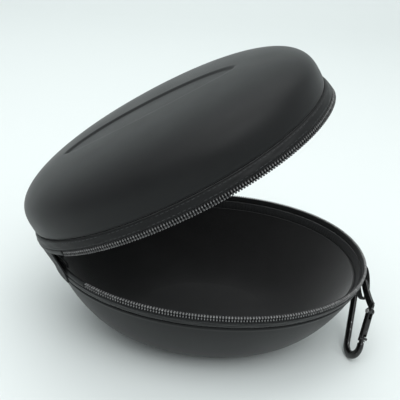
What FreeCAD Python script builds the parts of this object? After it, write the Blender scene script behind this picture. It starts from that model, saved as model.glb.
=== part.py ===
import FreeCAD, Part
import math
import os

# Headphone carrying case: a two-part moulded clamshell with a zip round its rim,
# a sewn fabric hinge at the back end, and a carabiner on a webbing loop.
# Millimetres. +Z up, +X from the hinge end to the opening end, +Y across.
# The origin is the centre of the base's flat underside. The lid is drawn in its
# closed place and then turned about the hinge axis to its resting opening.

V = FreeCAD.Vector
os.makedirs("parts", exist_ok=True)

# ---------------------------------------------------------------- dimensions
HALF_LENGTH = 105.0      # outline of the zip line, along X
HALF_WIDTH = 83.9        # outline of the zip line, along Y
EGG = 0.046              # how much wider the outline is towards +X
PLAN_POWER = 2.06        # superellipse power of the outline
RIM_Z = 57.9             # height of the plane where the two rims meet
COIL_GAP = 0.6           # from the meeting plane to the zip coil
COIL_TOP = 3.9           # far edge of the zip coil, from the meeting plane
BAND_TOP = 9.9           # seam between zip tape and shell, from the meeting plane
BASE_INSET = 3.0         # how far the base shell's seam stands in from the outline
LID_INSET = 2.45         # the same for the lid
BASE_DOME = (48.73, 6.28, 1.84, 0.177)   # depth, side power, top power, taper
LID_DOME = (33.04, 2.80, 3.96, 0.0)
WALL = 3.2               # moulded foam shell with its skin
LINING = 0.9             # fabric lining
GAP = 0.15               # between bonded layers
TAPE = 1.1               # zip tape thickness
HINGE_X = -112.29        # hinge fold line, outside the rim
HINGE_Z = 45.87
OPEN_DEG = 31.6          # lid opening at rest
ZIP_END_DEG = 136.0      # the coil runs this far each way round from +X
WEB_END_DEG = 137.5      # the hinge web fills the rest
RECESS = (-1.9, 59.5, 14.2, 0.9)         # lens-shaped recess: centre x, half length, half width, depth
SLIDER_DEG = 130.3       # where the zip slider is parked, far side near the hinge

# carabiner: its own axes are across, up and inward
CARA_ACROSS = V(0.3415, -0.7812, 0.5227)
CARA_UP = V(0.1574, 0.5958, 0.7876)
CARA_AT = V(102.65, -5.88, 39.11)
CARA_W = 19.56
CARA_L = 50.15
BAR_W = 2.65             # half width of the carabiner's bar in its own plane
BAR_T = 1.6              # half thickness


# ---------------------------------------------------------------- helpers
def plan(a, b, z, count=56):
    pts = []
    for i in range(count):
        t = 2.0 * math.pi * i / count
        c, s = math.cos(t), math.sin(t)
        x = a * math.copysign(abs(c) ** (2.0 / PLAN_POWER), c)
        y = b * math.copysign(abs(s) ** (2.0 / PLAN_POWER), s) * (1.0 + EGG * x / HALF_LENGTH)
        pts.append(V(x, y, z))
    return pts


def plan_point(deg, off=0.0):
    t = math.radians(deg)
    c, s = math.cos(t), math.sin(t)

    def at(tt):
        cc, ss = math.cos(tt), math.sin(tt)
        x = HALF_LENGTH * math.copysign(abs(cc) ** (2.0 / PLAN_POWER), cc)
        y = HALF_WIDTH * math.copysign(abs(ss) ** (2.0 / PLAN_POWER), ss) * (1.0 + EGG * x / HALF_LENGTH)
        return V(x, y, 0)

    p = at(t)
    tan = at(t + 1e-3) - at(t - 1e-3)
    tan.normalize()
    nrm = V(tan.y, -tan.x, 0)
    return p + nrm * off, tan, nrm


def ring_wire(a, b, z):
    curve = Part.BSplineCurve()
    curve.interpolate(Points=plan(a, b, z), PeriodicFlag=True)
    return Part.Wire([curve.toShape()])


def stack(levels, ruled=False):
    """Closed solid through outline copies: (offset from the outline, height)."""
    wires = [ring_wire(HALF_LENGTH + u, HALF_WIDTH + u, z) for u, z in levels]
    return Part.makeLoft(wires, True, ruled)


BASE_STEPS = (0.0, 0.08, 0.18, 0.30, 0.42, 0.54, 0.66, 0.77, 0.86, 0.93, 0.985)
LID_STEPS = (0.0, 0.18, 0.34, 0.48, 0.60, 0.70, 0.79, 0.86, 0.92, 0.96, 0.985, 0.996)


def dome(inset, shape, z0, sign, thick, steps, lip=0.0):
    """Solid filling a shell: z0 is the seam height, sign +1 up or -1 down."""
    depth, p, q, taper = shape
    a = HALF_LENGTH - inset
    b = HALF_WIDTH - inset
    k = thick
    wires = []
    if lip > 0:
        wires.append(ring_wire(a - k, b - k, z0 - sign * lip))
    for h in steps:
        r = (1.0 - h ** q) ** (1.0 / p)
        f = r * (1.0 - taper * h)
        wires.append(ring_wire((a - k) * f, (b - k) * f, z0 + sign * (depth - k) * h))
    return Part.makeLoft(wires, True, False)


def wedge(deg0, deg1, z0, z1, reach=260.0):
    """Prism covering the plan directions between two angles of the outline."""
    pts = [V(0, 0, z0)]
    steps = 6
    for i in range(steps + 1):
        p, tan, nrm = plan_point(deg0 + (deg1 - deg0) * i / steps)
        d = V(p.x, p.y, 0)
        d.normalize()
        pts.append(V(d.x * reach, d.y * reach, z0))
    pts.append(pts[0])
    return Part.Face(Part.makePolygon(pts)).extrude(V(0, 0, z1 - z0))


def band(levels_out, levels_in):
    """Ring between two stacks of outline copies; both lists run (offset, height)."""
    outer = stack(levels_out, True)
    lo, hi = levels_in[0], levels_in[-1]
    ext = [(lo[0], lo[1] - 0.5)] + list(levels_in[1:-1] if len(levels_in) > 2 else []) + [(hi[0], hi[1] + 0.5)]
    if len(levels_in) > 2:
        ext = [(lo[0], lo[1] - 0.5)] + list(levels_in) + [(hi[0], hi[1] + 0.5)]
    return outer.cut(stack(ext, True))


def one(shape):
    sol = sorted(shape.Solids, key=lambda s: -s.Volume)
    return sol[0]


def height(sign, d):
    return RIM_Z + sign * d


def levels(sign, pairs):
    out = [(u, height(sign, d)) for u, d in pairs]
    out.sort(key=lambda e: e[1])
    return out


LID_AXIS = V(0, -1, 0)
LID_PIVOT = V(HINGE_X, 0, HINGE_Z)


def opened(shape):
    s = shape.copy()
    s.rotate(LID_PIVOT, LID_AXIS, OPEN_DEG)
    return s


pieces = {}


def rim_pieces(prefix, sign, inset, place):
    """Zip tape, coil, hem, hinge web and hinge facing of one half."""
    back = wedge(WEB_END_DEG, 360.0 - WEB_END_DEG, -50, 160)
    front_cut = wedge(ZIP_END_DEG, 360.0 - ZIP_END_DEG, -50, 160)
    s = (inset - 0.3) / (BAND_TOP - COIL_TOP)
    u0 = -0.3
    u1 = u0 - s * (9.6 - 4.1)
    tape = band(levels(sign, [(u0, 4.1), (u1, 9.6)]),
                levels(sign, [(u0 - TAPE, 4.1), (u1 - TAPE, 9.6)]))
    pieces[prefix + "_zip_tape"] = place(one(tape))
    h0 = u0 - s * (5.6 - 4.1) - TAPE - GAP
    h1 = u1 - TAPE - GAP
    hem = band(levels(sign, [(h0, 5.6), (h1, 9.6)]),
               levels(sign, [(h0 - 0.9, 5.6), (h1 - 0.9, 9.6)]))
    pieces[prefix + "_hem"] = place(one(hem))
    coil = band(levels(sign, [(-0.55, COIL_GAP), (0.25, 1.3), (0.30, 3.1), (-0.25, COIL_TOP)]),
                levels(sign, [(-2.0, COIL_GAP), (-2.75, 1.3), (-2.8, 3.1), (-2.3, COIL_TOP)]))
    pieces[prefix + "_zip_coil"] = place(one(coil.cut(front_cut)))
    web = band(levels(sign, [(0.2, 0.7), (0.3, 2.0), (-0.05, COIL_TOP)]),
               levels(sign, [(-1.1, 0.7), (-1.1, 2.0), (-1.25, COIL_TOP)]))
    pieces[prefix + "_hinge_web"] = place(one(web.common(back)))
    back2 = wedge(WEB_END_DEG + 3.5, 360.0 - WEB_END_DEG - 3.5, -50, 160)
    facing = band(levels(sign, [(-1.35, 0.7), (-1.5, 4.0)]),
                  levels(sign, [(-2.25, 0.7), (-2.4, 4.0)]))
    pieces[prefix + "_hinge_facing"] = place(one(facing.common(back2)))


# ---------------------------------------------------------------- base half
def as_is(shape):
    return shape


seam_lo = RIM_Z - BAND_TOP
base_outer = dome(BASE_INSET, BASE_DOME, seam_lo, -1, 0.0, BASE_STEPS)
base_inner = dome(BASE_INSET, BASE_DOME, seam_lo, -1, WALL, BASE_STEPS, lip=1.0)
trim = Part.makeBox(400, 400, 100, V(-200, -200, RIM_Z - 10.15))
pieces["base_shell"] = one(base_outer.cut(base_inner).cut(trim))
lin_out = dome(BASE_INSET, BASE_DOME, seam_lo, -1, WALL + GAP, BASE_STEPS, lip=0.0)
lin_in = dome(BASE_INSET, BASE_DOME, seam_lo, -1, WALL + GAP + LINING, BASE_STEPS, lip=1.0)
pieces["base_lining"] = one(lin_out.cut(lin_in).cut(trim))
rim_pieces("base", -1, BASE_INSET, as_is)

# ---------------------------------------------------------------- lid half
seam_hi = RIM_Z + BAND_TOP
lid_outer = dome(LID_INSET, LID_DOME, seam_hi, 1, 0.0, LID_STEPS)
lid_inner = dome(LID_INSET, LID_DOME, seam_hi, 1, WALL, LID_STEPS, lip=4.0)
trim2 = Part.makeBox(400, 400, 100, V(-200, -200, RIM_Z + 10.15 - 100))
lid_shell = lid_outer.cut(lid_inner).cut(trim2)

# lens-shaped recess pressed into the crown of the lid
rx, rl, rw, rd = RECESS
lens = []
for i in range(40):
    t = 2.0 * math.pi * i / 40
    c, s = math.cos(t), math.sin(t)
    lens.append(V(rx + rl * math.copysign(abs(c) ** 0.92, c), rw * math.copysign(abs(s) ** 1.12, s), RIM_Z + 25))
lc = Part.BSplineCurve()
lc.interpolate(Points=lens, PeriodicFlag=True)
lens_prism = Part.Face(Part.Wire([lc.toShape()])).extrude(V(0, 0, 60))
lowered = lid_outer.copy()
lowered.translate(V(0, 0, -rd))
lid_shell = lid_shell.cut(lens_prism.cut(lowered))
pieces["lid_shell"] = opened(one(lid_shell))
lid_lin_out = dome(LID_INSET, LID_DOME, seam_hi, 1, WALL + 2 * GAP, LID_STEPS, lip=4.0)
lid_lin_in = dome(LID_INSET, LID_DOME, seam_hi, 1, WALL + 2 * GAP + LINING, LID_STEPS, lip=4.0)
pieces["lid_lining"] = opened(one(lid_lin_out.cut(lid_lin_in).cut(trim2)))
rim_pieces("lid", 1, LID_INSET, opened)

# ---------------------------------------------------------------- zip slider, parked at the far end near the hinge
sp, st, sn = plan_point(SLIDER_DEG)


def slider_place(shape):
    m = FreeCAD.Matrix(st.x, sn.x, 0, sp.x,
                       st.y, sn.y, 0, sp.y,
                       st.z, sn.z, 1, RIM_Z,
                       0, 0, 0, 1)
    if st.x * sn.y - st.y * sn.x < 0:
        m = FreeCAD.Matrix(-st.x, sn.x, 0, sp.x,
                           -st.y, sn.y, 0, sp.y,
                           -st.z, sn.z, 1, RIM_Z,
                           0, 0, 0, 1)
    return moved(shape, m)


def moved(shape, m):
    s = shape.copy()
    s.Placement = FreeCAD.Placement(m).multiply(s.Placement)
    return s


# slider's own axes: X along the zip, Y outward, Z up; meeting plane at Z 0
def plate(y0, y1, half_l, half_h, taper):
    pts = [V(-half_l, y0, -half_h), V(half_l * 0.35, y0, -half_h), V(half_l, y0, -half_h * taper),
           V(half_l, y0, half_h * taper), V(half_l * 0.35, y0, half_h), V(-half_l, y0, half_h), V(-half_l, y0, -half_h)]
    f = Part.Face(Part.makePolygon(pts)).extrude(V(0, y1 - y0, 0))
    edges = [e for e in f.Edges if abs(e.Vertexes[0].Point.y - e.Vertexes[1].Point.y) > 0.5]
    return f.makeFillet(0.8, edges)


outer_plate = plate(0.95, 2.15, 5.6, 4.4, 0.72)
inner_plate = plate(-4.35, -3.35, 5.6, 4.4, 0.72)
post = Part.makeBox(4.2, 6.5, 0.6, V(1.2, -4.35 + 0.0, -0.3))
body = outer_plate.fuse(inner_plate).fuse(post).removeSplitter()
pieces["slider_body"] = slider_place(one(body))

# bail: two legs off the outer plate and a bar across, one bent stamping
bar_y = 4.95
leg_a = Part.makeBox(0.9, bar_y - 2.25 + 0.8, 1.8, V(-3.1, 2.25, -0.9))
leg_b = Part.makeBox(0.9, bar_y - 2.25 + 0.8, 1.8, V(2.2, 2.25, -0.9))
bar = Part.makeCylinder(0.8, 6.1, V(-3.1, bar_y, 0), V(1, 0, 0))
bail = leg_a.fuse(leg_b).fuse(bar)
pieces["slider_bail"] = slider_place(one(bail))

# pull: an eye round the bail bar and a long tab hanging from it
eye = Part.makeCylinder(2.1, 3.6, V(-1.8 - 0.3 + 0.0, bar_y, 0), V(1, 0, 0))
tab_pts = [V(-2.1, bar_y - 0.7, -1.2), V(1.5, bar_y - 0.7, -1.2), V(2.9, bar_y - 0.7, -9.0), V(3.1, bar_y - 0.7, -27.0),
           V(1.6, bar_y - 0.7, -29.5), V(-2.2, bar_y - 0.7, -29.5), V(-3.7, bar_y - 0.7, -27.0), V(-3.5, bar_y - 0.7, -9.0),
           V(-2.1, bar_y - 0.7, -1.2)]
tab = Part.Face(Part.makePolygon(tab_pts)).extrude(V(0, 1.4, 0))
pull = eye.fuse(tab).cut(Part.makeCylinder(1.12, 8, V(-4, bar_y, 0), V(1, 0, 0)))
window = Part.makeBox(3.4, 4, 6.0, V(-2.0, bar_y - 2, -25.5))
wed = [e for e in window.Edges if abs(e.Vertexes[0].Point.y - e.Vertexes[1].Point.y) > 1]
window = window.makeFillet(1.3, wed)
pull = pull.cut(window)
pieces["pull_tab"] = slider_place(one(pull))

# ---------------------------------------------------------------- carabiner
CW, CL = CARA_W, CARA_L
BOW_R = 5.2
FOOT_R = 7.55
FOOT_Y = FOOT_R - CL
SHO = V(CW, -0.415 * CL, 0)                      # gate pivot
END = V(FOOT_R + FOOT_R * math.cos(0.1), FOOT_Y + FOOT_R * math.sin(0.1), 0)
G = END - SHO
G.normalize()                                     # down along the gate
OUTW = V(-G.y, G.x, 0)                            # away from the spine
if OUTW.x < 0:
    OUTW = OUTW * -1.0

inward = CARA_ACROSS.cross(CARA_UP)
inward.normalize()
up_axis = inward.cross(CARA_ACROSS)
up_axis.normalize()
across = V(CARA_ACROSS)
across.normalize()
cara_m = FreeCAD.Matrix(across.x, up_axis.x, inward.x, CARA_AT.x,
                        across.y, up_axis.y, inward.y, CARA_AT.y,
                        across.z, up_axis.z, inward.z, CARA_AT.z,
                        0, 0, 0, 1)

path_pts = [SHO - G * 4.1]
path_pts.append(V(CW * 0.79, -0.225 * CL, 0))
for deg in (20, 50, 90, 120, 150, 180):
    t = math.radians(deg)
    path_pts.append(V(BOW_R + BOW_R * math.cos(t), -BOW_R + BOW_R * math.sin(t), 0))
for v in (-0.32, -0.48, -0.64, -0.78):
    path_pts.append(V(0, v * CL, 0))
for deg in (195, 220, 245, 270, 295, 320, 345):
    t = math.radians(deg)
    path_pts.append(V(FOOT_R + FOOT_R * math.cos(t), FOOT_Y + FOOT_R * math.sin(t), 0))
path_pts.append(END)
pc = Part.BSplineCurve()
pc.interpolate(Points=path_pts)
path = Part.Wire([pc.toShape()])
t0 = pc.tangent(pc.FirstParameter)[0]
side = t0.cross(V(0, 0, 1))
side.normalize()
prof_pts = []
for i in range(16):
    t = 2.0 * math.pi * i / 16
    c, s = math.cos(t), math.sin(t)
    prof_pts.append(path_pts[0] + side * (BAR_W * math.copysign(abs(c) ** 0.82, c)) + V(0, 0, BAR_T * math.copysign(abs(s) ** 0.82, s)))
prc = Part.BSplineCurve()
prc.interpolate(Points=prof_pts, PeriodicFlag=True)
bow = path.makePipeShell([Part.Wire([prc.toShape()])], True, False)


def slab(p, d, length, w0, w1, z0, z1, back=0.0):
    """Flat bar from p along d, spanning w0..w1 outward and z0..z1 through."""
    o = V(-d.y, d.x, 0)
    if o.x < 0:
        o = o * -1.0
    a = p - d * back
    pts = [a + o * w0, a + o * w1, p + d * length + o * w1, p + d * length + o * w0]
    pts = [V(q.x, q.y, z0) for q in pts]
    pts.append(pts[0])
    return Part.Face(Part.makePolygon(pts)).extrude(V(0, 0, z1 - z0))


tongue = slab(SHO, G, 0.0, -2.0, 2.0, -0.75, 0.75, back=5.1)
tongue = tongue.fuse(Part.makeCylinder(2.0, 1.5, V(SHO.x, SHO.y, -0.75)))
tongue = tongue.cut(Part.makeCylinder(0.93, 3, V(SHO.x, SHO.y, -1.5)))
nose = slab(END, G, 1.6, -1.3, 1.5, -0.75, 0.75, back=4.4)
frame = bow.fuse(tongue).fuse(nose)
NOSE_PIN = END - G * 3.2 + OUTW * 0.9
frame = frame.cut(Part.makeCylinder(0.93, 3, V(NOSE_PIN.x, NOSE_PIN.y, -1.5)))
frame = one(frame)

pin = Part.makeCylinder(0.9, 4.4, V(SHO.x, SHO.y, -2.2)).fuse(
    Part.makeCylinder(1.5, 0.5, V(SHO.x, SHO.y, 2.15))).fuse(
    Part.makeCylinder(1.5, 0.5, V(SHO.x, SHO.y, -2.65)))
nose_pin = Part.makeCylinder(0.9, 5.6, V(NOSE_PIN.x, NOSE_PIN.y, -2.8))

GL = (END - SHO).Length
gate = slab(SHO, G, GL - 1.35, -2.0, 2.1, -1.9, 1.9)
long_edges = [e for e in gate.Edges if e.Length > 15]
gate = gate.makeFillet(0.9, long_edges)
gate = gate.fuse(Part.makeCylinder(2.05, 3.8, V(SHO.x, SHO.y, -1.9)))
gate = gate.cut(slab(SHO, G, 5.0, -3.0, 3.0, -1.05, 1.05, back=3.0))
gate = gate.cut(slab(END, G, 2.0, -3.5, 3.5, -1.05, 1.05, back=6.2))
gate = gate.cut(Part.makeCylinder(1.1, 6, V(SHO.x, SHO.y, -3)))
gate = gate.cut(slab(NOSE_PIN, G, 1.3, -1.3, 4.0, -3, 3, back=1.3))
gate = one(gate)

cara = {"carabiner_frame": frame, "carabiner_gate": gate, "gate_pin": one(pin), "nose_pin": one(nose_pin)}
low = min(moved(s, cara_m).BoundBox.ZMin for s in cara.values())
lift = V(0, 0, 0.1 - low)
for name in cara:
    s = moved(cara[name], cara_m)
    s.translate(lift)
    pieces[name] = s

# ---------------------------------------------------------------- webbing loop sewn under the zip, round the carabiner's bow
top = cara_m.multVec(V(BOW_R, 0, 0)) + lift       # middle of the bow's bar
LOOP_W = 5.8
LOOP_T = 0.9
LOOP_U = 6.3                                      # the strap hangs this far along the bow
anchor = cara_m.multVec(V(LOOP_U, 0, 0)) + lift
ly = V(-inward.x, -inward.y, 0)
ly.normalize()                                    # from the case outward
lz = up_axis - ly * up_axis.dot(ly)
lz.normalize()                                    # up the strap, which leans with the carabiner
lw = lz.cross(ly)


def loop_profile(grow):
    pts = [V(-2.6, 0, 10.2 + grow), V(0.2, 0, 10.0 + grow), V(2.4 + grow, 0, 8.0), V(3.1 + grow, 0, 3.5),
           V(2.7 + grow, 0, -3.0), V(1.2 + grow * 0.9, 0, -10.3), V(-0.4, 0, -12.0 - grow), V(-2.5 - grow * 0.9, 0, -10.3),
           V(-3.1 - grow, 0, -3.2), V(-2.4 - grow, 0, 3.5), V(-2.2 - grow, 0, 8.0)]
    c = Part.BSplineCurve()
    c.interpolate(Points=pts, PeriodicFlag=True)
    return Part.Face(Part.Wire([c.toShape()]))


loop = loop_profile(LOOP_T).extrude(V(0, LOOP_W, 0)).cut(loop_profile(0.0).extrude(V(0, LOOP_W, 0)))
loop.translate(V(0, -LOOP_W / 2.0, 0))
loop_m = FreeCAD.Matrix(ly.x, lw.x, lz.x, anchor.x,
                        ly.y, lw.y, lz.y, anchor.y,
                        ly.z, lw.z, lz.z, anchor.z,
                        0, 0, 0, 1)
loop = moved(loop, loop_m)
clear = stack([(-2.62, RIM_Z - 13.4), (-2.6, RIM_Z - 10.6), (-2.55, RIM_Z - 10.0), (0.15, RIM_Z - 4.05), (0.55, RIM_Z - 3.9), (0.55, RIM_Z + 2)], True)
loop = loop.cut(clear)
pieces["webbing_loop"] = one(loop)

# ---------------------------------------------------------------- out
for name in sorted(pieces):
    s = pieces[name]
    bb = s.BoundBox
    print("%-20s solids %d valid %s vol %9.1f  x %.1f..%.1f y %.1f..%.1f z %.1f..%.1f" % (
        name, len(s.Solids), s.isValid(), s.Volume, bb.XMin, bb.XMax, bb.YMin, bb.YMax, bb.ZMin, bb.ZMax))
    s.exportStep("parts/%s.step" % name)

print("carabiner bow middle", top, "across", across, "gate pivot", cara_m.multVec(SHO) + lift, "inward", inward)
print("slider at", sp, "tangent", st, "outward", sn, "pull bar", sp + sn * bar_y)
print("loop", anchor, "out", ly, "width", lw, "up", lz)
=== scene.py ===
import bpy
import bmesh
import math
import numpy as np
from mathutils import Vector, Matrix


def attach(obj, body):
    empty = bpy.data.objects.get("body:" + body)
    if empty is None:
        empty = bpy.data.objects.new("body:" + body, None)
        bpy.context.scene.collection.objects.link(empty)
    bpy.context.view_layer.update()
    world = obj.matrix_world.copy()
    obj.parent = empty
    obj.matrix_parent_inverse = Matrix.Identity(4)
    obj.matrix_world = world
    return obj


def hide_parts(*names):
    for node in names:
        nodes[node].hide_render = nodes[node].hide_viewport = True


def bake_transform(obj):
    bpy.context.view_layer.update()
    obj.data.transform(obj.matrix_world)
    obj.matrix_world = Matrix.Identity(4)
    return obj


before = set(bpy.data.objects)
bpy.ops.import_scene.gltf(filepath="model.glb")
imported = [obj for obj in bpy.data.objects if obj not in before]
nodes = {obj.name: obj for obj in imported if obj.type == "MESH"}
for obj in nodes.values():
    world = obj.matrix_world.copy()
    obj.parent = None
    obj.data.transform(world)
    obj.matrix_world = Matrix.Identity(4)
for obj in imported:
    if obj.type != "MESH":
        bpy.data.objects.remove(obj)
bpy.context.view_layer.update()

# ------------------------------------------------------------------ dimensions, millimetres
A, B, EGG, POW = 105.0, 83.9, 0.046, 2.06
RIM = 57.9
BASE_IN, LID_IN = 3.0, 2.45
BASE_DOME = (48.73, 6.28, 1.84, 0.177)
LID_DOME = (33.04, 2.80, 3.96, 0.0)
WALL = 3.2
PIV = (-112.29, 45.87)
OPEN = math.radians(31.6)
ZIP_END = 136.0
RECESS = (-1.9, 59.5, 14.2, 0.9)


def outline(phi, inset=0.0, f=1.0):
    """Plan point at outline angle phi (radians), inset in mm, scaled by f."""
    c, s = np.cos(phi), np.sin(phi)
    a = (A - inset) * f
    b = (B - inset) * f
    x = a * np.sign(c) * np.abs(c) ** (2.0 / POW)
    y = b * np.sign(s) * np.abs(s) ** (2.0 / POW) * (1.0 + EGG * x / A)
    return x, y


def lid_map(P):
    P = np.array(P, float)
    X = P[..., 0] - PIV[0]
    Z = P[..., 2] - PIV[1]
    Q = P.copy()
    Q[..., 0] = PIV[0] + X * math.cos(OPEN) - Z * math.sin(OPEN)
    Q[..., 2] = PIV[1] + X * math.sin(OPEN) + Z * math.cos(OPEN)
    return Q


def mesh_obj(name, verts_mm, faces, mats, smooth=True, recalc=True):
    me = bpy.data.meshes.new(name)
    V = np.asarray(verts_mm, float) * 0.001
    me.from_pydata([tuple(v) for v in V], [], [tuple(int(i) for i in f) for f in faces])
    me.update()
    if recalc:
        bm = bmesh.new()
        bm.from_mesh(me)
        bmesh.ops.recalc_face_normals(bm, faces=bm.faces)
        bm.to_mesh(me)
        bm.free()
    for p in me.polygons:
        p.use_smooth = smooth
    ob = bpy.data.objects.new(name, me)
    bpy.context.scene.collection.objects.link(ob)
    for m in (mats if isinstance(mats, (list, tuple)) else [mats]):
        me.materials.append(m)
    return ob


def sweep(profile, phis, wrap=True, loop=False, close_first=False, close_last=False, post=None):
    """Rows of (inset, factor, z) swept round the outline. Returns verts, faces."""
    phis = np.asarray(phis, float)
    n = len(phis)
    rows = []
    for (u, f, z) in profile:
        x, y = outline(phis, u, f)
        rows.append(np.stack([x, y, np.full(n, float(z))], -1))
    R = np.array(rows)
    if post is not None:
        R = post(R, phis)
    m = len(profile)
    V = R.reshape(-1, 3)
    faces = []
    jn = n if wrap else n - 1
    im = m if loop else m - 1
    for i in range(im):
        i2 = (i + 1) % m
        for j in range(jn):
            j2 = (j + 1) % n
            faces.append((i * n + j, i * n + j2, i2 * n + j2, i2 * n + j))
    extra = []
    if close_first:
        extra.append(R[0].mean(0))
        k = m * n + len(extra) - 1
        for j in range(jn):
            faces.append((k, (j + 1) % n, j))
    if close_last:
        extra.append(R[-1].mean(0))
        k = m * n + len(extra) - 1
        for j in range(jn):
            faces.append((k, (m - 1) * n + j, (m - 1) * n + (j + 1) % n))
    if loop and not wrap:
        faces.append(tuple(i * n for i in range(m)))
        faces.append(tuple(i * n + n - 1 for i in reversed(range(m))))
    if extra:
        V = np.vstack([V, np.array(extra)])
    return V, faces


def dome_rows(shape, inset, z0, sign, thick, step, hmax, hmin=0.0):
    """Rows from the crown to the seam, evenly spaced along the curve."""
    depth, p, q, taper = shape
    hh = np.concatenate([np.linspace(0, 0.9, 400), 0.9 + 0.1 * np.linspace(0, 1, 400) ** 0.7])
    hh = np.unique(np.clip(hh, hmin, hmax))
    if hmax >= 1.0:
        rr = np.concatenate([np.linspace(0.0, 0.999, 600), [1.0]])
        hh = np.unique(np.concatenate([hh[hh < 0.97], np.clip((1 - rr ** p), 0, 1) ** (1.0 / q)]))
        hh = hh[(hh >= hmin) & (hh <= hmax)]
    r = np.clip(1 - hh ** q, 0, 1) ** (1.0 / p)
    f = r * (1 - taper * hh)
    zz = (depth - thick) * hh
    s = np.concatenate([[0], np.cumsum(np.hypot(np.diff(f) * (A - inset), np.diff(zz)))])
    k = max(8, int(s[-1] / step))
    t = np.linspace(0, s[-1], k + 1)
    F = np.interp(t, s, f)
    Z = np.interp(t, s, zz)
    return [(inset + thick, F[i], z0 + sign * Z[i]) for i in range(k, -1, -1)]


# ------------------------------------------------------------------ materials
def new_mat(name):
    m = bpy.data.materials.new(name)
    m.use_nodes = True
    nt = m.node_tree
    nt.nodes.clear()
    out = nt.nodes.new("ShaderNodeOutputMaterial")
    bs = nt.nodes.new("ShaderNodeBsdfPrincipled")
    nt.links.new(bs.outputs[0], out.inputs[0])
    return m, nt, bs


def N(nt, kind, **kw):
    n = nt.nodes.new(kind)
    for k, v in kw.items():
        if k.startswith("i_"):
            key = k[2:]
            key = int(key) if key.isdigit() else key.replace("_", " ")
            n.inputs[key].default_value = v
        else:
            setattr(n, k, v)
    return n


def L(nt, a, b):
    nt.links.new(a, b)


def ramp(nt, src, stops):
    r = N(nt, "ShaderNodeValToRGB")
    els = r.color_ramp.elements
    while len(els) > 1:
        els.remove(els[-1])
    els[0].position = stops[0][0]
    els[0].color = stops[0][1]
    for pos, col in stops[1:]:
        e = els.new(pos)
        e.color = col
    L(nt, src, r.inputs[0])
    return r


def grey(v, tint=(1, 1, 1)):
    return (v * tint[0], v * tint[1], v * tint[2], 1)


def mapping(nt, scale):
    tc = N(nt, "ShaderNodeTexCoord")
    mp = N(nt, "ShaderNodeMapping")
    mp.inputs["Scale"].default_value = scale
    L(nt, tc.outputs["Object"], mp.inputs[0])
    return mp.outputs[0]


def bump_chain(nt, bs, layers):
    prev = None
    for src, strength, dist in layers:
        b = N(nt, "ShaderNodeBump")
        b.inputs["Strength"].default_value = strength
        b.inputs["Distance"].default_value = dist
        L(nt, src, b.inputs["Height"])
        if prev is not None:
            L(nt, prev.outputs[0], b.inputs["Normal"])
        prev = b
    L(nt, prev.outputs[0], bs.inputs["Normal"])


COOL = (0.94, 1.0, 1.06)


def mat_skin(name="shell_skin", base=0.026, rough=0.50):
    m, nt, bs = new_mat(name)
    co = mapping(nt, (1, 1, 1))
    grain = N(nt, "ShaderNodeTexVoronoi", feature="F1")
    grain.inputs["Scale"].default_value = 1500
    L(nt, co, grain.inputs["Vector"])
    fine = N(nt, "ShaderNodeTexNoise")
    fine.inputs["Scale"].default_value = 2600
    fine.inputs["Detail"].default_value = 3
    L(nt, co, fine.inputs["Vector"])
    wave = N(nt, "ShaderNodeTexNoise")
    wave.inputs["Scale"].default_value = 38
    wave.inputs["Detail"].default_value = 2.5
    L(nt, co, wave.inputs["Vector"])
    dust = N(nt, "ShaderNodeTexNoise")
    dust.inputs["Scale"].default_value = 900
    dust.inputs["Detail"].default_value = 1
    L(nt, co, dust.inputs["Vector"])
    col = ramp(nt, wave.outputs["Fac"], [(0.3, grey(base * 0.86, COOL)), (0.7, grey(base * 1.16, COOL))])
    speck = ramp(nt, dust.outputs["Fac"], [(0.70, grey(0)), (0.80, grey(0.35))])
    mix = N(nt, "ShaderNodeMixRGB", blend_type="MIX")
    L(nt, speck.outputs[0], mix.inputs[0])
    L(nt, col.outputs[0], mix.inputs[1])
    mix.inputs[2].default_value = grey(base * 2.2, COOL)
    L(nt, mix.outputs[0], bs.inputs["Base Color"])
    rr = ramp(nt, wave.outputs["Fac"], [(0.25, grey(rough - 0.04)), (0.75, grey(rough + 0.05))])
    L(nt, rr.outputs[0], bs.inputs["Roughness"])
    bs.inputs["Specular IOR Level"].default_value = 0.20
    bs.inputs["Sheen Weight"].default_value = 0.11
    bs.inputs["Sheen Roughness"].default_value = 0.45
    bump_chain(nt, bs, [(grain.outputs["Distance"], 0.16, 0.00022), (fine.outputs["Fac"], 0.12, 0.00016)])
    return m


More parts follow.
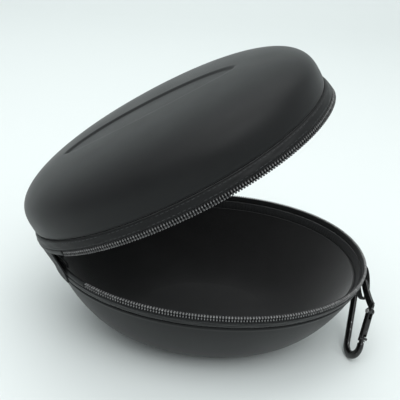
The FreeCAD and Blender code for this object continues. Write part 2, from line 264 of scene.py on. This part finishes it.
def mat_weave(name, base, rough=0.75, pitch=0.55, sheen=0.25, contrast=0.5, strength=0.5, tint=COOL):
    """Woven cloth: two crossed sets of threads in object space."""
    m, nt, bs = new_mat(name)
    sc = 2 * math.pi / (pitch * 0.001)
    tc = N(nt, "ShaderNodeTexCoord")
    sep = N(nt, "ShaderNodeSeparateXYZ")
    L(nt, tc.outputs["Object"], sep.inputs[0])

    def mul(a, k):
        n = N(nt, "ShaderNodeMath", operation="MULTIPLY")
        L(nt, a, n.inputs[0])
        n.inputs[1].default_value = k
        return n.outputs[0]

    def op(kind, a, b=None):
        n = N(nt, "ShaderNodeMath", operation=kind)
        L(nt, a, n.inputs[0])
        if b is not None:
            L(nt, b, n.inputs[1])
        return n.outputs[0]

    u = op("ADD", mul(sep.outputs[0], sc), mul(sep.outputs[1], sc * 0.83))
    v = op("ADD", mul(sep.outputs[2], sc), mul(sep.outputs[1], sc * 0.21))
    su, sv = op("SINE", u), op("SINE", v)
    w = op("MULTIPLY", su, sv)
    noise = N(nt, "ShaderNodeTexNoise")
    noise.inputs["Scale"].default_value = 700
    noise.inputs["Detail"].default_value = 3
    L(nt, tc.outputs["Object"], noise.inputs["Vector"])
    h = op("ADD", w, mul(noise.outputs["Fac"], 0.9))
    norm = N(nt, "ShaderNodeMapRange")
    norm.inputs["From Min"].default_value = -0.7
    norm.inputs["From Max"].default_value = 1.6
    L(nt, h, norm.inputs["Value"])
    col = ramp(nt, norm.outputs[0], [(0.15, grey(base * (1 - contrast), tint)), (0.85, grey(base * (1 + contrast), tint))])
    L(nt, col.outputs[0], bs.inputs["Base Color"])
    rr = ramp(nt, noise.outputs["Fac"], [(0.3, grey(rough - 0.06)), (0.7, grey(min(1, rough + 0.08)))])
    L(nt, rr.outputs[0], bs.inputs["Roughness"])
    bs.inputs["Sheen Weight"].default_value = sheen
    bs.inputs["Sheen Roughness"].default_value = 0.4
    bs.inputs["Specular IOR Level"].default_value = 0.3
    bump_chain(nt, bs, [(norm.outputs[0], strength, 0.00025)])
    return m


def mat_fuzz(name, base, rough=0.9, tint=(1, 1, 1.03)):
    m, nt, bs = new_mat(name)
    co = mapping(nt, (1, 1, 1))
    n1 = N(nt, "ShaderNodeTexNoise")
    n1.inputs["Scale"].default_value = 1400
    n1.inputs["Detail"].default_value = 5
    n1.inputs["Roughness"].default_value = 0.7
    L(nt, co, n1.inputs["Vector"])
    n2 = N(nt, "ShaderNodeTexNoise")
    n2.inputs["Scale"].default_value = 55
    n2.inputs["Detail"].default_value = 3
    L(nt, co, n2.inputs["Vector"])
    mx = N(nt, "ShaderNodeMixRGB", blend_type="MULTIPLY")
    mx.inputs[0].default_value = 0.8
    c1 = ramp(nt, n1.outputs["Fac"], [(0.3, grey(base * 0.45, tint)), (0.75, grey(base * 1.7, tint))])
    c2 = ramp(nt, n2.outputs["Fac"], [(0.3, grey(0.72)), (0.7, grey(1.15))])
    L(nt, c1.outputs[0], mx.inputs[1])
    L(nt, c2.outputs[0], mx.inputs[2])
    L(nt, mx.outputs[0], bs.inputs["Base Color"])
    bs.inputs["Roughness"].default_value = rough
    bs.inputs["Sheen Weight"].default_value = 0.35
    bs.inputs["Sheen Roughness"].default_value = 0.5
    bs.inputs["Specular IOR Level"].default_value = 0.2
    bump_chain(nt, bs, [(n1.outputs["Fac"], 0.45, 0.0004)])
    return m


def mat_metal_black(name, base=0.012, rough=0.26, worn=0.35, scale=260):
    m, nt, bs = new_mat(name)
    co = mapping(nt, (1, 1, 1))
    n1 = N(nt, "ShaderNodeTexNoise")
    n1.inputs["Scale"].default_value = scale
    n1.inputs["Detail"].default_value = 4
    L(nt, co, n1.inputs["Vector"])
    n2 = N(nt, "ShaderNodeTexNoise")
    n2.inputs["Scale"].default_value = 1900
    n2.inputs["Detail"].default_value = 2
    L(nt, co, n2.inputs["Vector"])
    geo = N(nt, "ShaderNodeNewGeometry")
    edge = ramp(nt, geo.outputs["Pointiness"], [(0.53, grey(0)), (0.60, grey(1))])
    spots = ramp(nt, n1.outputs["Fac"], [(0.60, grey(0)), (0.68, grey(1))])
    mul = N(nt, "ShaderNodeMixRGB", blend_type="MULTIPLY")
    mul.inputs[0].default_value = 1
    L(nt, edge.outputs[0], mul.inputs[1])
    L(nt, spots.outputs[0], mul.inputs[2])
    # small chips in the finish, away from the edges as well
    n3 = N(nt, "ShaderNodeTexNoise")
    n3.inputs["Scale"].default_value = 620
    n3.inputs["Detail"].default_value = 1
    L(nt, co, n3.inputs["Vector"])
    chips = ramp(nt, n3.outputs["Fac"], [(0.70, grey(0)), (0.735, grey(1))])
    both = N(nt, "ShaderNodeMixRGB", blend_type="LIGHTEN")
    both.inputs[0].default_value = 1
    L(nt, mul.outputs[0], both.inputs[1])
    L(nt, chips.outputs[0], both.inputs[2])
    mul = both
    mix = N(nt, "ShaderNodeMixRGB")
    L(nt, mul.outputs[0], mix.inputs[0])
    c1 = ramp(nt, n1.outputs["Fac"], [(0.3, grey(base * 0.8)), (0.7, grey(base * 1.3))])
    L(nt, c1.outputs[0], mix.inputs[1])
    mix.inputs[2].default_value = grey(worn)
    L(nt, mix.outputs[0], bs.inputs["Base Color"])
    L(nt, mul.outputs[0], bs.inputs["Metallic"])
    rr = ramp(nt, n1.outputs["Fac"], [(0.3, grey(rough - 0.05)), (0.7, grey(rough + 0.1))])
    L(nt, rr.outputs[0], bs.inputs["Roughness"])
    bs.inputs["Coat Weight"].default_value = 0.25
    bs.inputs["Coat Roughness"].default_value = 0.2
    bump_chain(nt, bs, [(n2.outputs["Fac"], 0.06, 0.0001)])
    return m


def mat_plastic(name, base, rough=0.34, tint=(1, 1, 1)):
    m, nt, bs = new_mat(name)
    co = mapping(nt, (1, 1, 1))
    n1 = N(nt, "ShaderNodeTexNoise")
    n1.inputs["Scale"].default_value = 420
    n1.inputs["Detail"].default_value = 3
    L(nt, co, n1.inputs["Vector"])
    c1 = ramp(nt, n1.outputs["Fac"], [(0.3, grey(base * 0.7, tint)), (0.7, grey(base * 1.4, tint))])
    L(nt, c1.outputs[0], bs.inputs["Base Color"])
    rr = ramp(nt, n1.outputs["Fac"], [(0.3, grey(rough - 0.08)), (0.7, grey(rough + 0.1))])
    L(nt, rr.outputs[0], bs.inputs["Roughness"])
    bs.inputs["Specular IOR Level"].default_value = 0.6
    n2 = N(nt, "ShaderNodeTexNoise")
    n2.inputs["Scale"].default_value = 3000
    L(nt, co, n2.inputs["Vector"])
    bump_chain(nt, bs, [(n2.outputs["Fac"], 0.1, 0.0001)])
    return m


M_SKIN = mat_skin(base=0.006, rough=0.47)
M_BAND = mat_skin("band_skin", base=0.005, rough=0.5)
M_TAPE = mat_weave("zip_tape_cloth", 0.006, rough=0.8, pitch=0.5, sheen=0.15)
M_HEM = mat_weave("hem_cloth", 0.008, rough=0.85, pitch=0.6, sheen=0.2)
M_LINING = mat_fuzz("lining_cloth", 0.006)
M_COIL = mat_plastic("coil_nylon", 0.030, rough=0.26, tint=(1.0, 0.97, 1.0))
# painted highlight: a much lighter nylon colour for the tooth heads, standing in for glints on the teeth
M_HEAD_PAINTED_GLINT = mat_plastic("coil_head_painted_glint", 0.15, rough=0.24, tint=(1.0, 0.98, 0.98))
M_WEB = mat_weave("webbing_cloth", 0.012, rough=0.8, pitch=0.9, sheen=0.25, strength=0.8)
M_HINGE = mat_weave("hinge_cloth", 0.010, rough=0.8, pitch=0.45, sheen=0.2)
M_THREAD = mat_weave("thread", 0.030, rough=0.6, pitch=0.3, sheen=0.1)
M_METAL = mat_metal_black("carabiner_black", base=0.007, rough=0.17)
M_SLIDER = mat_metal_black("slider_black", base=0.015, rough=0.34)
M_PIN = mat_metal_black("rivet_steel", base=0.30, rough=0.3, worn=0.6)


def put(ob, body, replaces=()):
    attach(ob, body)
    if replaces:
        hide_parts(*replaces)
    return ob


def full(n):
    return np.linspace(0, 2 * np.pi, n, endpoint=False)


# ------------------------------------------------------------------ shells
NPHI = 352


def shell(name, shape, inset, sign, lid, recess=None):
    z0 = RIM + sign * 9.9
    depth, p, q, taper = shape
    hmax = 1.0 if lid else 0.985
    rows = dome_rows(shape, inset, z0, sign, 0.0, 1.35, hmax)
    # trim rows nearer the seam than the rolled lip
    rows = [r for r in rows if abs(r[2] - RIM) > 11.7]
    outer_n = len(rows)
    f_end = rows[-1][1]
    lip = []
    for k in range(9):
        t = math.pi * k / 8
        uu = inset + 0.22 + 1.35 * (1 - math.cos(t)) / 2 * 2.0
        zz = 11.6 - 1.45 * math.sin(t) ** 0.8 + 0.0
        lip.append((uu, 1.0, RIM + sign * zz))
    rows += lip
    inn = dome_rows(shape, inset, z0, sign, WALL, 3.0, hmax)
    inn = [r for r in inn if abs(r[2] - RIM) > 12.6]
    rows += inn[::-1]
    phis = full(NPHI)

    def post(R, ph):
        if recess is not None:
            rx, rl, rw, rd = recess
            for i in range(outer_n):
                x = R[i, :, 0] - rx
                y = R[i, :, 1]
                half = rw * np.clip(1 - (np.abs(x) / rl) ** 2, 0, 1) ** 0.62
                e = (half - np.abs(y))
                slope = np.clip(0.35 + 0.65 * (1 - (np.abs(x) / rl) ** 2), 0.3, 1)
                e = e * slope - np.clip(np.abs(x) - rl, 0, 99)
                t = np.clip((e + 1.0) / 2.0, 0, 1)
                t = t * t * (3 - 2 * t)
                R[i, :, 2] -= sign * rd * 1.3 * t
        if lid:
            R = lid_map(R)
        return R

    V, F = sweep(rows, phis, close_first=True, close_last=True, post=post)
    return mesh_obj(name, V, F, M_SKIN)


base_skin = put(shell("base_shell_skin", BASE_DOME, BASE_IN, -1, False), "base", ("base_shell",))
lid_skin = put(shell("lid_shell_skin", LID_DOME, LID_IN, 1, True, RECESS), "lid", ("lid_shell",))


def lining(name, shape, inset, sign, lid):
    z0 = RIM + sign * 9.9
    t0 = WALL + (0.3 if lid else 0.15)
    hmax = 1.0 if lid else 0.985
    outer = dome_rows(shape, inset, z0, sign, t0 + 0.05, 4.0, hmax)
    inner = dome_rows(shape, inset, z0, sign, t0 + 0.9, 1.6, hmax)
    rows = outer + [(inset + t0 + 0.1, 1.0, RIM + sign * 9.6), (inset + t0 + 0.45, 1.0, RIM + sign * 9.3),
                    (inset + t0 + 0.85, 1.0, RIM + sign * 9.55)] + inner[::-1]
    rng = np.random.default_rng(7 if lid else 5)
    ph = full(240)
    k1 = rng.uniform(0, 6.28, 6)

    def post(R, phis):
        m = len(outer) + 3
        for i in range(m, R.shape[0]):
            w = 0.10 * (np.sin(5 * phis + k1[0] + 0.07 * i) + 0.7 * np.sin(9 * phis + k1[1] - 0.11 * i))
            R[i, :, 2] += sign * w * min(1.0, (i - m) / 10.0) * -1
        return lid_map(R) if lid else R

    V, F = sweep(rows, ph, close_first=True, close_last=True, post=post)
    return mesh_obj(name, V, F, M_LINING)


put(lining("base_lining_cloth", BASE_DOME, BASE_IN, -1, False), "base", ("base_lining",))
put(lining("lid_lining_cloth", LID_DOME, LID_IN, 1, True), "lid", ("lid_lining",))


# ------------------------------------------------------------------ rim: coated band, cloth behind the teeth, hem
def rim(prefix, sign, inset, lid):
    body = "lid" if lid else "base"
    s = (inset - 0.3) / 6.0

    def u_at(z):
        return 0.3 + s * (z - 3.9)

    band = []
    # outside face, slightly crowned, edges tucked into the seams
    for k in range(13):
        t = k / 12.0
        z = 9.75 - t * 5.55
        crown = 0.42 * (1 - (2 * t - 1) ** 4)
        tuck = 1.15 * max(0.0, (abs(2 * t - 1) - 0.80) / 0.20) ** 1.6
        band.append((u_at(z) - crown + tuck, 1.0, RIM + sign * z))
    for k in range(5):
        t = k / 4.0
        z = 4.3 + t * 5.3
        band.append((u_at(z) + 1.25, 1.0, RIM + sign * z))
    rng = np.random.default_rng(11 if lid else 12)
    ks = rng.uniform(0, 6.28, 8)

    def post(R, ph):
        # faint pulls along the sewn band
        for i in range(1, 12):
            w = 0.06 * np.sin(23 * ph + ks[0] + i) + 0.05 * np.sin(41 * ph + ks[1] - i * 0.6)
            d = np.stack([np.cos(ph), np.sin(ph), 0 * ph], -1)
            R[i] += d * w[:, None]
        return lid_map(R) if lid else R

    V, F = sweep(band, full(480), loop=True, post=post)
    o = mesh_obj(prefix + "_rim_band", V, F, M_BAND)
    put(o, body, (prefix + "_zip_tape",))

    # woven tape behind the teeth, full way round, folded over at its free edge
    z_lo, z_hi = 0.75, 5.2
    tape = [(1.15, 1, RIM + sign * z_hi), (0.72, 1, RIM + sign * 4.5), (0.60, 1, RIM + sign * 4.15), (0.75, 1, RIM + sign * 3.9), (1.0, 1, RIM + sign * 3.7),
            (1.1, 1, RIM + sign * 2.55), (1.1, 1, RIM + sign * 1.2),
            (1.3, 1, RIM + sign * z_lo), (1.75, 1, RIM + sign * z_lo), (2.0, 1, RIM + sign * 1.2), (2.05, 1, RIM + sign * 2.6),
            (2.1, 1, RIM + sign * 4.0), (2.2, 1, RIM + sign * z_hi)]
    V, F = sweep(tape, full(360), loop=True, post=(lambda R, ph: lid_map(R)) if lid else None)
    o = mesh_obj(prefix + "_tape_cloth", V, F, M_TAPE)
    put(o, body, ())

    # ribbed hem inside the rim
    h1 = u_at(9.6) + 1.1 + 0.35
    h0 = u_at(5.2) + 1.1 + 0.35
    hem = []
    for k in range(9):
        t = k / 8.0
        z = 4.9 + t * 5.6
        u = h0 + (h1 - h0) * min(1, t * 1.08) + 0.95 + 0.35 * math.sin(math.pi * t)
        hem.append((u, 1.0, RIM + sign * z))
    hem.append((h1 + 0.5, 1.0, RIM + sign * 10.6))
    for k in range(4):
        t = 1 - k / 3.0
        hem.append((h0 + (h1 - h0) * t, 1.0, RIM + sign * (4.8 + t * 5.2)))
    nh = 1500

    def post_h(R, ph):
        rib = 0.13 * np.cos(ph * 250)
        d = np.stack([np.cos(ph), np.sin(ph), 0 * ph], -1)
        for i in range(0, 9):
            R[i] += d * rib[:, None] * (1.0 if 0 < i < 8 else 0.4)
        return lid_map(R) if lid else R

    V, F = sweep(hem, full(nh), loop=True, post=post_h)
    o = mesh_obj(prefix + "_hem_rib", V, F, M_HEM)
    put(o, body, (prefix + "_hem",))


rim("base", -1, BASE_IN, False)
rim("lid", 1, LID_IN, True)


# ------------------------------------------------------------------ zip teeth
def arc_table(n=4000):
    ph = np.linspace(-math.radians(ZIP_END), math.radians(ZIP_END), n)
    x, y = outline(ph)
    s = np.concatenate([[0], np.cumsum(np.hypot(np.diff(x), np.diff(y)))])
    return ph, x, y, s


def frames_along(pitch, offset=0.0, lim=None):
    ph, x, y, s = arc_table()
    if lim is not None:
        pass
    t = np.arange(offset, s[-1], pitch)
    P = np.interp(t, s, ph)
    px, py = outline(P)
    e = 1e-4
    ax, ay = outline(P + e)
    bx, by = outline(P - e)
    tx, ty = ax - bx, ay - by
    n = np.hypot(tx, ty)
    tx, ty = tx / n, ty / n
    return P, px, py, tx, ty, ty, -tx      # outward normal = (ty, -tx)


TOOTH_PITCH = 1.75
secs = [  # z from meeting plane, half width along, half thickness, inset of the middle
    (3.80, 0.14, 0.22, 0.78), (3.62, 0.32, 0.46, 0.66), (3.2, 0.40, 0.60, 0.50), (2.75, 0.40, 0.62, 0.46), (2.3, 0.34, 0.56, 0.54),
    (1.7, 0.34, 0.60, 0.54), (1.3, 0.54, 0.84, 0.44), (0.95, 0.64, 0.98, 0.38), (0.64, 0.58, 0.90, 0.44), (0.42, 0.38, 0.60, 0.58), (0.34, 0.16, 0.26, 0.70)]


def teeth(name, sign, lid, offset):
    P, px, py, tx, ty, nx, ny = frames_along(TOOTH_PITCH, offset)
    K = 8
    ang = np.linspace(0, 2 * np.pi, K, endpoint=False)
    V, F = [], []
    rng = np.random.default_rng(21 if lid else 22)
    for i in range(len(P)):
        base = len(V)
        lean = rng.normal(0, 0.035)
        for (z, w, t, u) in secs:
            for a in ang:
                c, s = math.cos(a), math.sin(a)
                cc = math.copysign(abs(c) ** 0.8, c) * w + lean * (z - 2.0)
                ss = math.copysign(abs(s) ** 0.8, s) * t - u
                V.append((px[i] + tx[i] * cc + nx[i] * ss, py[i] + ty[i] * cc + ny[i] * ss, RIM + sign * z))
        m = len(secs)
        for r in range(m - 1):
            for k in range(K):
                k2 = (k + 1) % K
                F.append((base + r * K + k, base + r * K + k2, base + (r + 1) * K + k2, base + (r + 1) * K + k))
        F.append(tuple(base + k for k in range(K)))
        F.append(tuple(base + (m - 1) * K + k for k in reversed(range(K))))
    V = np.array(V)
    Z0 = np.abs(V[:, 2] - RIM)
    if lid:
        V = lid_map(V)
    o = mesh_obj(name, V, F, M_COIL)
    # painted highlight: faces on the head of each tooth get a much lighter nylon colour that stands in for glints
    o.data.materials.append(M_HEAD_PAINTED_GLINT)
    P0 = np.array(Z0)
    for p in o.data.polygons:
        zz = P0[list(p.vertices)]
        if max(zz) < 1.2 or (min(zz) > 2.2 and max(zz) < 3.3):
            p.material_index = 1
    return o


put(teeth("base_zip_teeth", -1, False, 0.4), "base", ("base_zip_coil",))
put(teeth("lid_zip_teeth", 1, True, 0.4 + TOOTH_PITCH / 2), "lid", ("lid_zip_coil",))


# ------------------------------------------------------------------ sewn stitches along both edges of each band
def capsule(p, d, nrm, length, r, V, F, K=6):
    side = np.cross(d, nrm)
    base = len(V)
    prof = [(-0.5, 0.25), (-0.40, 0.8), (-0.15, 1.0), (0.15, 1.0), (0.40, 0.8), (0.5, 0.25)]
    for t, k in prof:
        lift = -0.25 * r * (2 * t) ** 2
        for j in range(K):
            a = 2 * math.pi * j / K
            V.append(p + d * (t * length) + (side * math.cos(a) + nrm * (math.sin(a) * 0.8)) * r * k + nrm * lift)
    for i in range(len(prof) - 1):
        for j in range(K):
            j2 = (j + 1) % K
            F.append((base + i * K + j, base + i * K + j2, base + (i + 1) * K + j2, base + (i + 1) * K + j))
    F.append(tuple(base + j for j in range(K)))
    F.append(tuple(base + (len(prof) - 1) * K + j for j in reversed(range(K))))


def stitches(name, sign, inset, lid, z_row):
    s = (inset - 0.3) / 6.0
    u = 0.3 + s * (z_row - 3.9) - 0.30
    ph = np.linspace(0, 2 * np.pi, 6000)
    x, y = outline(ph, u)
    S = np.concatenate([[0], np.cumsum(np.hypot(np.diff(x), np.diff(y)))])
    n = int(S[-1] / 3.1)
    t = (np.arange(n) + 0.5) * S[-1] / n
    P = np.interp(t, S, ph)
    V, F = [], []
    for p in P:
        x0, y0 = outline(np.array([p]), u)
        xa, ya = outline(np.array([p + 1e-4]), u)
        xb, yb = outline(np.array([p - 1e-4]), u)
        d = np.array([xa[0] - xb[0], ya[0] - yb[0], 0])
        d /= np.linalg.norm(d)
        nrm = np.array([d[1], -d[0], 0])
        capsule(np.array([x0[0], y0[0], RIM + sign * z_row]), d, nrm, 2.25, 0.20, V, F)
    V = np.array(V)
    if lid:
        V = lid_map(V)
    o = mesh_obj(name, V, F, M_THREAD)
    return put(o, "lid" if lid else "base", ())


stitches("base_stitch_upper", -1, BASE_IN, False, 5.35)
stitches("base_stitch_lower", -1, BASE_IN, False, 8.65)
stitches("lid_stitch_upper", 1, LID_IN, True, 8.65)
stitches("lid_stitch_lower", 1, LID_IN, True, 5.35)


# ------------------------------------------------------------------ hinge: plain edge on each half and one folded strip between
def hinge_edge(prefix, sign, lid):
    ph = np.radians(np.linspace(136.6, 360 - 136.6, 150))
    prof = []
    for k in range(9):
        t = k / 8.0
        z = 4.25 - t * 3.6
        crown = 0.32 * math.sin(math.pi * min(1, 0.08 + t * 0.92))
        tuck = 0.7 * max(0.0, (0.14 - t) / 0.14) ** 1.3
        prof.append((0.45 - crown + tuck, 1.0, RIM + sign * z))
    prof += [(0.8, 1.0, RIM + sign * 0.5), (1.0, 1.0, RIM + sign * 0.9), (1.0, 1.0, RIM + sign * 2.4), (1.1, 1.0, RIM + sign * 4.2)]
    V, F = sweep(prof, ph, wrap=False, loop=True, post=(lambda R, p: lid_map(R)) if lid else None)
    o = mesh_obj(prefix + "_hinge_edge", V, F, M_BAND)
    put(o, "lid" if lid else "base", (prefix + "_hinge_web",))


hinge_edge("base", -1, False)
hinge_edge("lid", 1, True)


def gusset(name, inset_b, inset_l, zb, zl, p0, p1, thick, bulge, seed, replaces, mat):
    n = 120
    m = 22
    ph = np.radians(np.linspace(p0, p1, n))
    rng = np.random.default_rng(seed)
    k = rng.uniform(0, 6.28, 6)
    bx, by = outline(ph, inset_b)
    Bp = np.stack([bx, by, np.full(n, RIM - zb)], -1)
    lx, ly = outline(ph, inset_l)
    Lp = lid_map(np.stack([lx, ly, np.full(n, RIM + zl)], -1))
    Ld = lid_map(np.stack([lx, ly, np.full(n, RIM + zl - 1.0)], -1)) - Lp
    out = np.stack([np.cos(ph), np.sin(ph) * 0.8, 0 * ph], -1)
    out /= np.linalg.norm(out, axis=1)[:, None]
    dist = np.linalg.norm(Lp - Bp, axis=1)[:, None]
    up = np.array([0, 0, 1.0])
    C1 = Bp + up * dist * 0.30 + out * bulge * dist
    C2 = Lp + Ld * dist * 0.30 + out * bulge * dist * 0.7
    rows = []
    for i in range(m + 1):
        t = i / m
        P = (1 - t) ** 3 * Bp + 3 * (1 - t) ** 2 * t * C1 + 3 * (1 - t) * t * t * C2 + t ** 3 * Lp
        w = math.sin(math.pi * t)
        ripple = (0.35 * np.sin(9 * ph * 3 + k[0]) + 0.25 * np.sin(17 * ph * 2 + k[1] + 2 * t)) * w
        P = P + out * ripple[:, None] * np.minimum(1.0, dist / 12.0)
        rows.append(P)
    O = np.array(rows)
    I = O - out[None] * thick
    R = np.concatenate([O, I[::-1]], 0)
    M = R.shape[0]
    V = R.reshape(-1, 3)
    F = []
    for i in range(M):
        i2 = (i + 1) % M
        for j in range(n - 1):
            F.append((i * n + j, i * n + j + 1, i2 * n + j + 1, i2 * n + j))
    # end caps as strips
    h = M // 2
    for j in (0, n - 1):
        for i in range(h - 1):
            F.append((i * n + j, (i + 1) * n + j, (M - 2 - i) * n + j, (M - 1 - i) * n + j))
    o = mesh_obj(name, V, F, mat)
    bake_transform(o)
    if replaces:
        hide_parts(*replaces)
    return o


gusset("hinge_strip", 0.55, 0.60, 9.3, 1.0, 147.5, 212.5, 0.8, 0.035, 3, (), M_HINGE)
gusset("hinge_facing_strip", 2.6, 2.6, 1.5, 1.5, 150.5, 209.5, 0.7, -0.06, 4, ("base_hinge_facing", "lid_hinge_facing"), M_HINGE)


def set_mat(node, mat):
    o = nodes[node]
    if not o.material_slots:
        o.data.materials.append(mat)
    for s in o.material_slots:
        s.material = mat


ANCHOR = np.array([104.801, -10.801, 42.846])
LY = np.array([0.98030, 0.19749, 0.0])
LW = np.array([-0.16163, 0.80231, -0.57461])
LZ = np.array([-0.11348, 0.56330, 0.81843])


def strap():
    # loop in its own plane: out from the case, up the strap
    ctr = [(-2.6, 10.8), (0.2, 10.5), (2.75, 8.4), (3.55, 3.5), (3.15, -3.0), (1.7, -10.5),
           (-0.4, -12.45), (-2.95, -10.5), (-3.55, -3.2), (-2.85, 3.5), (-2.65, 8.0)]
    c = np.array(ctr)
    n = len(c)
    pts = []
    for i in range(n):
        p0, p1, p2, p3 = c[(i - 1) % n], c[i], c[(i + 1) % n], c[(i + 2) % n]
        for k in range(8):
            t = k / 8.0
            pts.append(0.5 * ((2 * p1) + (-p0 + p2) * t + (2 * p0 - 5 * p1 + 4 * p2 - p3) * t * t + (-p0 + 3 * p1 - 3 * p2 + p3) * t ** 3))
    c = np.array(pts)
    n = len(c)
    tan = np.roll(c, -1, 0) - np.roll(c, 1, 0)
    tan /= np.linalg.norm(tan, axis=1)[:, None]
    nor = np.stack([tan[:, 1], -tan[:, 0]], -1)
    hw, ht = 3.4, 0.44
    prof = []
    K = 9
    for k in range(K):
        w = -hw + 2 * hw * k / (K - 1)
        prof.append((w, ht * (1.0 - 0.5 * abs(w / hw) ** 6) + 0.05 * math.cos(w * 6)))
    for k in range(K):
        w = hw - 2 * hw * k / (K - 1)
        prof.append((w, -ht * (1.0 - 0.5 * abs(w / hw) ** 6) - 0.05 * math.cos(w * 6)))
    V, F = [], []
    P = len(prof)
    for i in range(n):
        rib = 0.045 * math.cos(i * 2 * math.pi / 2.0)
        for (w, h) in prof:
            q = c[i] + nor[i] * (h + math.copysign(rib, h))
            p = ANCHOR + LY * q[0] + LW * w + LZ * q[1]
            V.append(p)
    for i in range(n):
        i2 = (i + 1) % n
        for k in range(P):
            k2 = (k + 1) % P
            F.append((i * P + k, i * P + k2, i2 * P + k2, i2 * P + k))
    V = np.array(V)
    # the strap lies against the rim: push any point inside the rim's face out to it
    ph = np.arctan2(V[:, 1] / B, V[:, 0] / A)
    z = RIM - V[:, 2]
    uu = np.where(z < 3.9, -0.45, 0.3 + (BASE_IN - 0.3) / 6.0 * (z - 3.9) - 0.75)
    uu = np.where(z > 10.2, BASE_IN - 0.35 + (z - 10.2) * 0.25, uu)
    uu = np.where(z > 14.0, 60.0, uu)
    ox, oy = outline(ph, uu)
    r_now = np.hypot(V[:, 0], V[:, 1])
    r_rim = np.hypot(ox, oy)
    k = np.maximum(1.0, r_rim / r_now)
    V[:, 0] *= k
    V[:, 1] *= k
    return mesh_obj("webbing_strap", V, F, M_WEB)


put(strap(), "base", ("webbing_loop",))

for nme in ("carabiner_frame", "carabiner_gate", "nose_pin"):
    set_mat(nme, M_METAL)
set_mat("gate_pin", M_PIN)
for nme in ("slider_body", "slider_bail", "pull_tab"):
    set_mat(nme, M_SLIDER)
for nme, o in nodes.items():
    for p in o.data.polygons:
        p.use_smooth = True

# ------------------------------------------------------------------ stage, light, camera
bpy.context.view_layer.update()


def floor():
    me = bpy.data.meshes.new("floor")
    xs = [-4.0, 4.0]
    prof = []
    prof.append((-3.0, 0.0))
    prof.append((1.1, 0.0))
    for k in range(1, 13):
        a = math.pi / 2 * k / 12
        prof.append((1.1 + 0.9 * math.sin(a), 0.9 - 0.9 * math.cos(a)))
    prof.append((2.0, 4.0))
    V = []
    for x in xs:
        for (y, z) in prof:
            V.append((x, y, z))
    n = len(prof)
    F = [(i, i + 1, n + i + 1, n + i) for i in range(n - 1)]
    me.from_pydata(V, [], F)
    for p in me.polygons:
        p.use_smooth = True
    ob = bpy.data.objects.new("floor", me)
    bpy.context.scene.collection.objects.link(ob)
    m, nt, bs = new_mat("floor_paper")
    bs.inputs["Base Color"].default_value = (0.745, 0.78, 0.77, 1)
    bs.inputs["Roughness"].default_value = 0.7
    bs.inputs["Specular IOR Level"].default_value = 0.25
    me.materials.append(m)
    return ob


floor()


def area(name, loc, target, size, power, col=(1, 1, 1)):
    d = bpy.data.lights.new(name, "AREA")
    d.shape = "RECTANGLE"
    d.size, d.size_y = size
    d.energy = power
    d.color = col
    o = bpy.data.objects.new(name, d)
    bpy.context.scene.collection.objects.link(o)
    o.location = loc
    v = Vector(target) - Vector(loc)
    o.rotation_euler = v.to_track_quat("-Z", "Y").to_euler()
    return o


area("key", (-0.15, 0.0, 1.35), (0, -0.05, 0.0), (1.6, 1.3), 10.5, (0.98, 1.0, 1.0))
area("fill", (0.35, -0.85, 1.2), (0.05, -0.25, 0.0), (1.2, 1.0), 9.0, (0.97, 1.0, 1.0))
area("wall", (0.0, 0.9, 1.8), (0, 2.0, 0.6), (3.0, 0.8), 10, (0.98, 1.0, 1.0))

w = bpy.data.worlds.new("world")
bpy.context.scene.world = w
w.use_nodes = True
bg = w.node_tree.nodes["Background"]
bg.inputs[0].default_value = (0.93, 0.98, 1.0, 1)
bg.inputs[1].default_value = 0.62

bpy.context.scene.view_settings.view_transform = "Standard"
bpy.context.scene.view_settings.look = "None"

az, el, roll, dist, f = -0.044, 0.437, 0.081, 441.515, 674.958
T = Vector((-9.294, -1.52, 33.222 + 57.88)) * 0.001
back = Vector((math.sin(az) * math.cos(el), -math.cos(az) * math.cos(el), math.sin(el)))
fwd = -back
right = fwd.cross(Vector((0, 0, 1))).normalized()
upv = right.cross(fwd).normalized()
r2 = math.cos(roll) * right + math.sin(roll) * upv
u2 = -math.sin(roll) * right + math.cos(roll) * upv
C = T + back * dist * 0.001
cd = bpy.data.cameras.new("camera")
cd.sensor_width = 36
cd.sensor_fit = "HORIZONTAL"
cd.lens = 36 * f / 400
cam = bpy.data.objects.new("camera", cd)
bpy.context.scene.collection.objects.link(cam)
cam.matrix_world = Matrix(((r2.x, u2.x, back.x, C.x), (r2.y, u2.y, back.y, C.y), (r2.z, u2.z, back.z, C.z), (0, 0, 0, 1)))
bpy.context.scene.camera = cam
